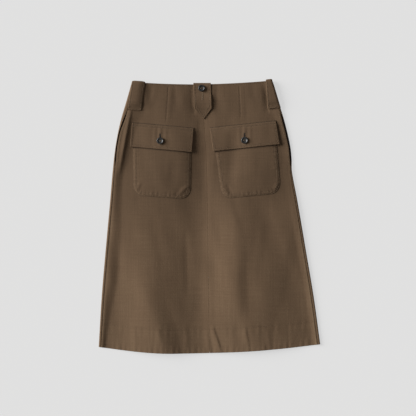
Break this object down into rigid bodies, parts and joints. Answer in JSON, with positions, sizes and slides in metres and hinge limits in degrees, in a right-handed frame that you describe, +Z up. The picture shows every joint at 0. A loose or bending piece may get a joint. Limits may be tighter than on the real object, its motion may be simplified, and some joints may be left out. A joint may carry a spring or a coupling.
{
  "type": "cargo utility skirt",
  "caption": "Knee-length A-line utility skirt in brown cotton twill, laid flat with its back up, with buttoned patch pockets, slanted side pockets, wide belt loops and a pointed middle tab.",
  "frame": {"origin": "on the surface the skirt lies on, under the middle of its outline", "axes": "+X across the skirt, towards the right as seen from above; +Y along it from the hem to the waist; +Z up from the surface"},
  "size_m": [0.5765, 0.7136, 0.02],
  "materials": {
    "twill": "matte brown cotton twill",
    "pocketing": "dark plain-woven pocketing",
    "horn": "polished dark horn-effect button"
  },
  "bodies": {
    "root": {"front_panel": "twill", "back_left_panel": "twill", "back_right_panel": "twill", "side_pocket_facing_left": "pocketing", "side_pocket_facing_right": "pocketing", "patch_pocket_left": "twill", "pocket_flap_left": "twill", "flap_button_left": "horn", "patch_pocket_right": "twill", "pocket_flap_right": "twill", "flap_button_right": "horn", "belt_loop_left": "twill", "belt_loop_right": "twill", "middle_tab": "twill", "tab_button": "horn"}
  },
  "joints": []
}
